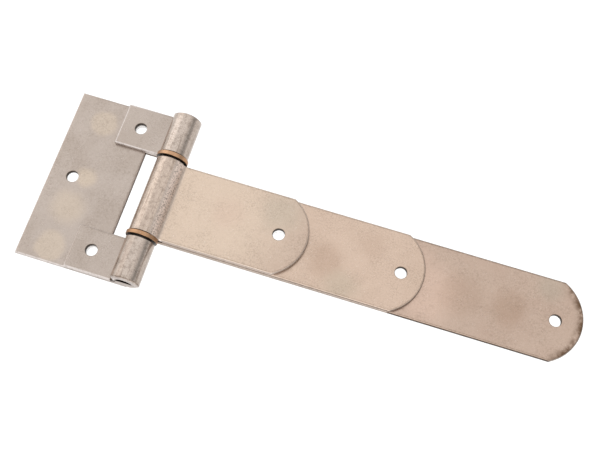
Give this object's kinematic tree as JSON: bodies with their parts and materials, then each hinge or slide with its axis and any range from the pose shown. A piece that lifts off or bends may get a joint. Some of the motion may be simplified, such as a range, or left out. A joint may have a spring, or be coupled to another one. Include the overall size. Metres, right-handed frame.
{
  "type": "t hinge",
  "caption": "Gate T hinge: slotted plate leaf with two wrapped ears and a long layered strap leaf that swings on a through pin between loose washers.",
  "frame": {"origin": "middle of the plate leaf's flat back face, on the plane that both leaves lie against when the hinge is open", "axes": "+X along the strap from the plate towards the tip, +Y along the pin, +Z out of the front face, away from the mounting surface"},
  "size_m": [0.317, 0.106, 0.0188],
  "materials": {
    "plate_steel": "satin, slightly warm",
    "strap_steel": "satin, slightly warm",
    "stiffener_steel": "satin, slightly warm",
    "pin_steel": "satin",
    "washer_brass": "satin, copper toned"
  },
  "bodies": {
    "plate": {"plate_leaf": "plate_steel", "hinge_pin": "pin_steel"},
    "strap": {"strap_leaf": "strap_steel", "strap_stiffener": "stiffener_steel"},
    "upper_washer": {"upper_washer": "washer_brass"},
    "lower_washer": {"lower_washer": "washer_brass"}
  },
  "joints": [
    {"name": "strap_swing", "type": "hinge", "parent": "plate", "child": "strap", "pos_m": [0.0335, 0, 0.00856], "axis": [0, -1, 0], "range_deg": [-120, 180]},
    {"name": "upper_washer_spin", "type": "hinge", "parent": "plate", "child": "upper_washer", "pos_m": [0.0335, 0, 0.00856], "axis": [0, 1, 0], "continuous": true},
    {"name": "lower_washer_spin", "type": "hinge", "parent": "plate", "child": "lower_washer", "pos_m": [0.0335, 0, 0.00856], "axis": [0, 1, 0], "continuous": true}
  ]
}
